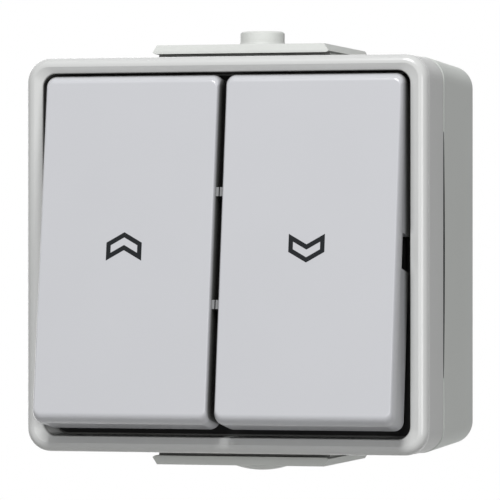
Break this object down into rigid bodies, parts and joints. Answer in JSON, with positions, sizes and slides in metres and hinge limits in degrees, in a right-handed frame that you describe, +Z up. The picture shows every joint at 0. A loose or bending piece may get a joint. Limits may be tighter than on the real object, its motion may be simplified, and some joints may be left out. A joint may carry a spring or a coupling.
{
  "type": "roller shutter switch",
  "caption": "Surface-mounted roller shutter switch: sealed wall box with soft cable entries and tall latching rockers side by side, for up and down.",
  "frame": {"origin": "centre of the flat back face that lies on the wall", "axes": "+Z up, +Y into the wall, so the rockers face -Y; +X to the right seen from the front"},
  "size_m": [0.0692, 0.0488, 0.0751],
  "materials": {
    "box_grey": "fine satin moulded",
    "cover_grey": "smooth moulded",
    "rocker_grey": "smooth moulded",
    "entry_grey": "soft matt moulded",
    "gasket": "matt",
    "membrane_black": "matt",
    "zinc_steel": "zinc plated",
    "spring_steel": "drawn",
    "insert_white": "moulded",
    "insert_dark": "moulded",
    "contact_brass": "stamped"
  },
  "bodies": {
    "housing": {"back_box": "box_grey", "box_gasket": "gasket", "cable_entry_top": "entry_grey", "cable_entry_bottom": "entry_grey", "cover_frame": "cover_grey", "sealing_membrane": "membrane_black", "cover_screw_top_left": "zinc_steel", "cover_screw_top_right": "zinc_steel", "cover_screw_bottom_left": "zinc_steel", "cover_screw_bottom_right": "zinc_steel", "mounting_plate": "zinc_steel", "plate_screw_left": "zinc_steel", "plate_screw_right": "zinc_steel", "bearing_frame": "insert_white", "axle_up": "zinc_steel", "axle_down": "zinc_steel", "insert_base": "insert_dark", "common_contact": "contact_brass", "link_bar": "contact_brass", "on_contact_up": "contact_brass", "on_contact_down": "contact_brass", "terminal_line": "contact_brass", "terminal_up": "contact_brass", "terminal_down": "contact_brass", "clamp_screw_line": "zinc_steel", "clamp_screw_up": "zinc_steel", "clamp_screw_down": "zinc_steel"},
    "up_rocker": {"rocker_up": "rocker_grey", "toggle_up": "insert_white", "spring_up": "spring_steel"},
    "up_plunger": {"plunger_up": "insert_white"},
    "up_seesaw": {"seesaw_up": "contact_brass"},
    "down_rocker": {"rocker_down": "rocker_grey", "toggle_down": "insert_white", "spring_down": "spring_steel"},
    "down_plunger": {"plunger_down": "insert_white"},
    "down_seesaw": {"seesaw_down": "contact_brass"}
  },
  "joints": [
    {"name": "up_rocker_hinge", "type": "hinge", "parent": "housing", "child": "up_rocker", "pos_m": [-0.0156, -0.036, 0], "axis": [1, 0, 0], "range_deg": [0, 16]},
    {"name": "down_rocker_hinge", "type": "hinge", "parent": "housing", "child": "down_rocker", "pos_m": [0.0156, -0.036, 0], "axis": [1, 0, 0], "range_deg": [0, 16]},
    {"name": "up_plunger_slide", "type": "slide", "parent": "up_rocker", "child": "up_plunger", "axis": [0, -0.9903, 0.1392], "range_m": [0, 0.0008], "stiffness_N_per_m": 150, "springref_m": -0.004, "deforming": ["spring_up"]},
    {"name": "down_plunger_slide", "type": "slide", "parent": "down_rocker", "child": "down_plunger", "axis": [0, -0.9903, 0.1392], "range_m": [0, 0.0008], "stiffness_N_per_m": 150, "springref_m": -0.004, "deforming": ["spring_down"]},
    {"name": "up_seesaw_pivot", "type": "hinge", "parent": "housing", "child": "up_seesaw", "pos_m": [-0.0156, -0.018, 0], "axis": [1, 0, 0], "range_deg": [-12, 0]},
    {"name": "down_seesaw_pivot", "type": "hinge", "parent": "housing", "child": "down_seesaw", "pos_m": [0.0156, -0.018, 0], "axis": [1, 0, 0], "range_deg": [-12, 0]}
  ],
  "couplings": [
    {"joint": "up_seesaw_pivot", "follows": "up_rocker_hinge", "ratio": -0.75},
    {"joint": "down_seesaw_pivot", "follows": "down_rocker_hinge", "ratio": -0.75}
  ]
}
